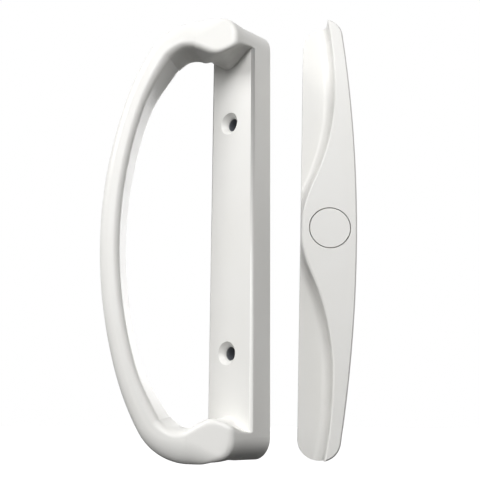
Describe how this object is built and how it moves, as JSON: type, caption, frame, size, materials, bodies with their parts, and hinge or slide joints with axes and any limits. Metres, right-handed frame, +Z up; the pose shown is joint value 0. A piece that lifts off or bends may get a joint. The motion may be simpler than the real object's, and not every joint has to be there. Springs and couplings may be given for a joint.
{
  "type": "sliding patio door handle set",
  "caption": "Handle set for a sliding patio door: flat base plate with a leaning D grip, and a narrow outside finger pull with a blanked key cylinder hole.",
  "frame": {"origin": "middle of the inside handle's two screw holes, on the door face that its base plate lies against", "axes": "+X right along the door face, +Y back into the door, +Z up along the base plate"},
  "size_m": [0.0835, 0.0902, 0.1929],
  "materials": {
    "handle_paint": "satin white powder coat on die-cast zinc",
    "pull_paint": "satin white powder coat on die-cast zinc",
    "plug_paint": "satin white powder coat on a stamped blank"
  },
  "bodies": {
    "root": {"inside_handle": "handle_paint", "outside_pull": "pull_paint", "cylinder_hole_plug": "plug_paint"}
  },
  "joints": []
}
